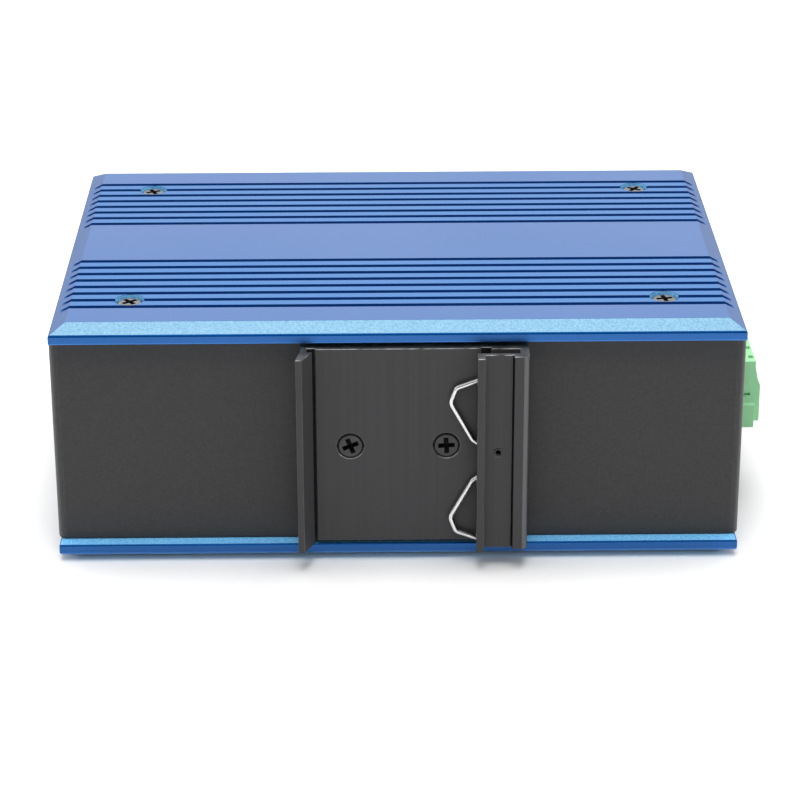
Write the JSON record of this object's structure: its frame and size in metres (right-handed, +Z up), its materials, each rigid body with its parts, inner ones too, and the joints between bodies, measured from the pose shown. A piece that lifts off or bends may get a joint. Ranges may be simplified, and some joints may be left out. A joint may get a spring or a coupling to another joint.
{
  "type": "din rail ethernet switch",
  "caption": "Industrial network switch for a mounting rail: sheet-metal case between two finned aluminium plates, rail clip with wire spring, pluggable supply terminal.",
  "frame": {"origin": "middle of the lower finned plate's outer face, on which the part lies", "axes": "+Z up through the case from the lower finned plate to the upper one, -Y out of the rear with the rail clip, +Y out of the front with the network sockets, +X out of the end wall with the supply plug"},
  "size_m": [0.1472, 0.1064, 0.052],
  "materials": {
    "blue_anodised": "satin, bead blasted and anodised blue",
    "black_paint": "fine matt powder coat",
    "black_clip": "satin, anodised black",
    "screw_steel": "nickel plated",
    "black_screw": "black oxide",
    "spring_steel": "drawn wire",
    "board_green": "solder mask",
    "nylon": "natural nylon",
    "black_plastic": "moulded",
    "tinned_sheet": "tinned",
    "contact_metal": "gold plated",
    "clear_plastic": "clear",
    "plug_green": "moulded, light green",
    "header_green": "moulded, green",
    "led_body": "moulded",
    "chip_black": "moulded",
    "pad_grey": "soft",
    "plain_aluminium": "milled",
    "ferrite": "pressed"
  },
  "bodies": {
    "case": {"upper_plate": "blue_anodised", "lower_plate": "blue_anodised", "upper_plate_screws": "screw_steel", "lower_plate_screws": "screw_steel", "chassis": "black_paint", "front_panel": "black_paint", "clip_nuts": "screw_steel", "din_clip": "black_clip", "clip_screws": "black_screw", "rail_spring": "spring_steel", "spring_pin": "spring_steel", "main_board": "board_green", "board_supports": "nylon", "jack_housing": "black_plastic", "jack_shield": "tinned_sheet", "jack_contacts": "contact_metal", "jack_light_pipes": "clear_plastic", "header_pins": "tinned_sheet", "terminal_header": "header_green", "panel_light_pipes": "clear_plastic", "status_leds": "led_body", "switch_chip": "chip_black", "thermal_pad": "pad_grey", "heat_block": "plain_aluminium", "port_transformers": "chip_black", "capacitors": "plain_aluminium", "power_inductor": "ferrite", "earth_screw": "screw_steel"},
    "plug": {"terminal_plug": "plug_green", "terminal_clamps": "tinned_sheet", "terminal_screws": "screw_steel"}
  },
  "joints": [
    {"name": "plug_slide", "type": "slide", "parent": "case", "child": "plug", "axis": [1, 0, 0], "range_m": [0, 0.008]}
  ]
}
